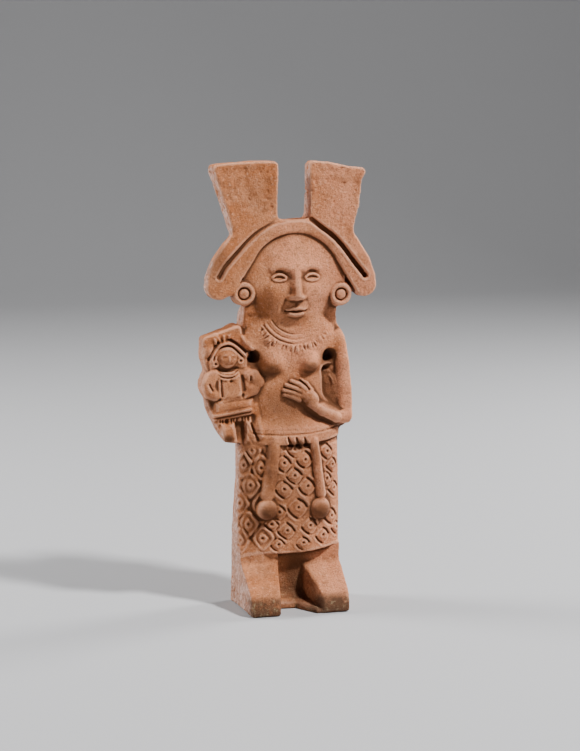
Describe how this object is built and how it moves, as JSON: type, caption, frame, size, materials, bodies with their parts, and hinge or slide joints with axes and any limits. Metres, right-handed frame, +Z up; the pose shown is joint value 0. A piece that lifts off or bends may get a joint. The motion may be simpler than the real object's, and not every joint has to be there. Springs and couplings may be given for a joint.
{
  "type": "standing terracotta deity figure",
  "caption": "Mould-made standing female figure in fired clay, with a tufted headdress and a lozenge-patterned skirt, holding a small figure on one arm.",
  "frame": {"origin": "on the ground, under the middle of the figure's box", "axes": "+Z up, the face towards -Y, +X to the viewer's right"},
  "size_m": [0.0712, 0.0326, 0.1784],
  "materials": {
    "terracotta": "dry matte fired clay, worn, with soil in the recesses"
  },
  "bodies": {
    "root": {"figure": "terracotta"}
  },
  "joints": []
}
